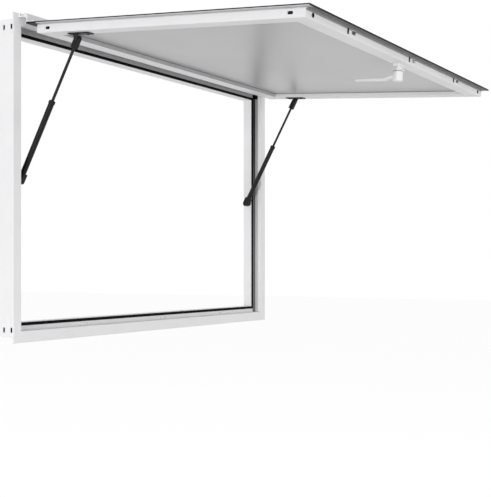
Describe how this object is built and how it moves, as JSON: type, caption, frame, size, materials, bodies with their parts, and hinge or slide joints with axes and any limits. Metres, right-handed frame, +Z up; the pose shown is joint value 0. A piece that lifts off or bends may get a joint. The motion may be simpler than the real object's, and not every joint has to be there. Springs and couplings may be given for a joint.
{
  "type": "concession window",
  "caption": "Serving window for a food stand: white extruded frame with a top-hinged awning door, gas struts, bulb seals and a turning latch.",
  "frame": {"origin": "middle of the sill flange's back face, in the plane of the wall's outer face", "axes": "+X along the wall to the right as seen from outside, +Y indoors, +Z up"},
  "size_m": [1.35, 0.9374, 0.884],
  "materials": {
    "frame_paint": "white powder coat, satin",
    "door_paint": "white powder coat, satin",
    "panel_grey": "pale grey laminate, satin",
    "key_black": "black glass-filled nylon",
    "seal_rubber": "matt black",
    "strip_rubber": "dark grey, matt",
    "keeper_steel": "zinc plated",
    "stud_steel": "zinc plated",
    "latch_paint": "white, satin",
    "strut_black": "black, semi-gloss",
    "rod_black": "black nitrided",
    "fitting_black": "black, satin",
    "bracket_black": "black"
  },
  "bodies": {
    "frame": {"frame_left_jamb": "frame_paint", "frame_right_jamb": "frame_paint", "frame_sill": "frame_paint", "frame_header": "frame_paint", "frame_corner_keys": "key_black", "seal_left": "seal_rubber", "seal_right": "seal_rubber", "seal_bottom": "seal_rubber", "seal_top": "seal_rubber", "keeper_left": "keeper_steel", "keeper_middle": "keeper_steel", "keeper_right": "keeper_steel", "hinge_leaf": "frame_paint", "jamb_stud_left": "fitting_black", "jamb_stud_right": "fitting_black"},
    "door": {"hinge_socket": "door_paint", "door_skin": "door_paint", "front_weatherstrip": "strip_rubber", "hinge_weatherstrip": "strip_rubber", "left_weatherstrip": "strip_rubber", "right_weatherstrip": "strip_rubber", "door_left_rail": "door_paint", "door_right_rail": "door_paint", "door_front_rail": "door_paint", "door_hinge_rail": "door_paint", "door_corner_keys": "key_black", "door_panel": "panel_grey", "lock_bolt_left": "keeper_steel", "lock_bolt_middle": "keeper_steel", "lock_bolt_right": "keeper_steel", "lock_studs": "stud_steel", "latch_base": "latch_paint", "strut_bracket_left": "bracket_black", "strut_bracket_right": "bracket_black"},
    "handle": {"latch_handle": "latch_paint"},
    "strut_left_rod": {"strut_rod_left": "rod_black", "strut_head_left": "fitting_black"},
    "strut_left_tube": {"strut_tube_left": "strut_black", "strut_foot_left": "fitting_black"},
    "strut_right_rod": {"strut_rod_right": "rod_black", "strut_head_right": "fitting_black"},
    "strut_right_tube": {"strut_tube_right": "strut_black", "strut_foot_right": "fitting_black"}
  },
  "joints": [
    {"name": "door_hinge", "type": "hinge", "parent": "frame", "child": "door", "pos_m": [0, -0.0245, 0.868], "axis": [1, 0, 0], "range_deg": [0, 85.8]},
    {"name": "latch_turn", "type": "hinge", "parent": "door", "child": "handle", "pos_m": [0, -0.82034, 0.74789], "axis": [0, 0.0732, -0.9973], "range_deg": [-90, 0]},
    {"name": "strut_left_swing", "type": "hinge", "parent": "door", "child": "strut_left_rod", "pos_m": [-0.604, -0.1654, 0.8], "axis": [1, 0, 0], "range_deg": [-113.92, 0.2]},
    {"name": "strut_left_slide", "type": "slide", "parent": "strut_left_rod", "child": "strut_left_tube", "axis": [0, -0.488, 0.8729], "range_m": [-0.0005, 0.1313]},
    {"name": "strut_right_swing", "type": "hinge", "parent": "door", "child": "strut_right_rod", "pos_m": [0.604, -0.1654, 0.8], "axis": [1, 0, 0], "range_deg": [-113.92, 0.2]},
    {"name": "strut_right_slide", "type": "slide", "parent": "strut_right_rod", "child": "strut_right_tube", "axis": [0, -0.488, 0.8729], "range_m": [-0.0005, 0.1313]}
  ],
  "couplings": [
    {"joint": "strut_left_swing", "follows": "door_hinge", "ratio": -1.3254},
    {"joint": "strut_left_slide", "follows": "door_hinge", "m_per_rad": 0.087355},
    {"joint": "strut_right_swing", "follows": "door_hinge", "ratio": -1.3254},
    {"joint": "strut_right_slide", "follows": "door_hinge", "m_per_rad": 0.087355}
  ]
}
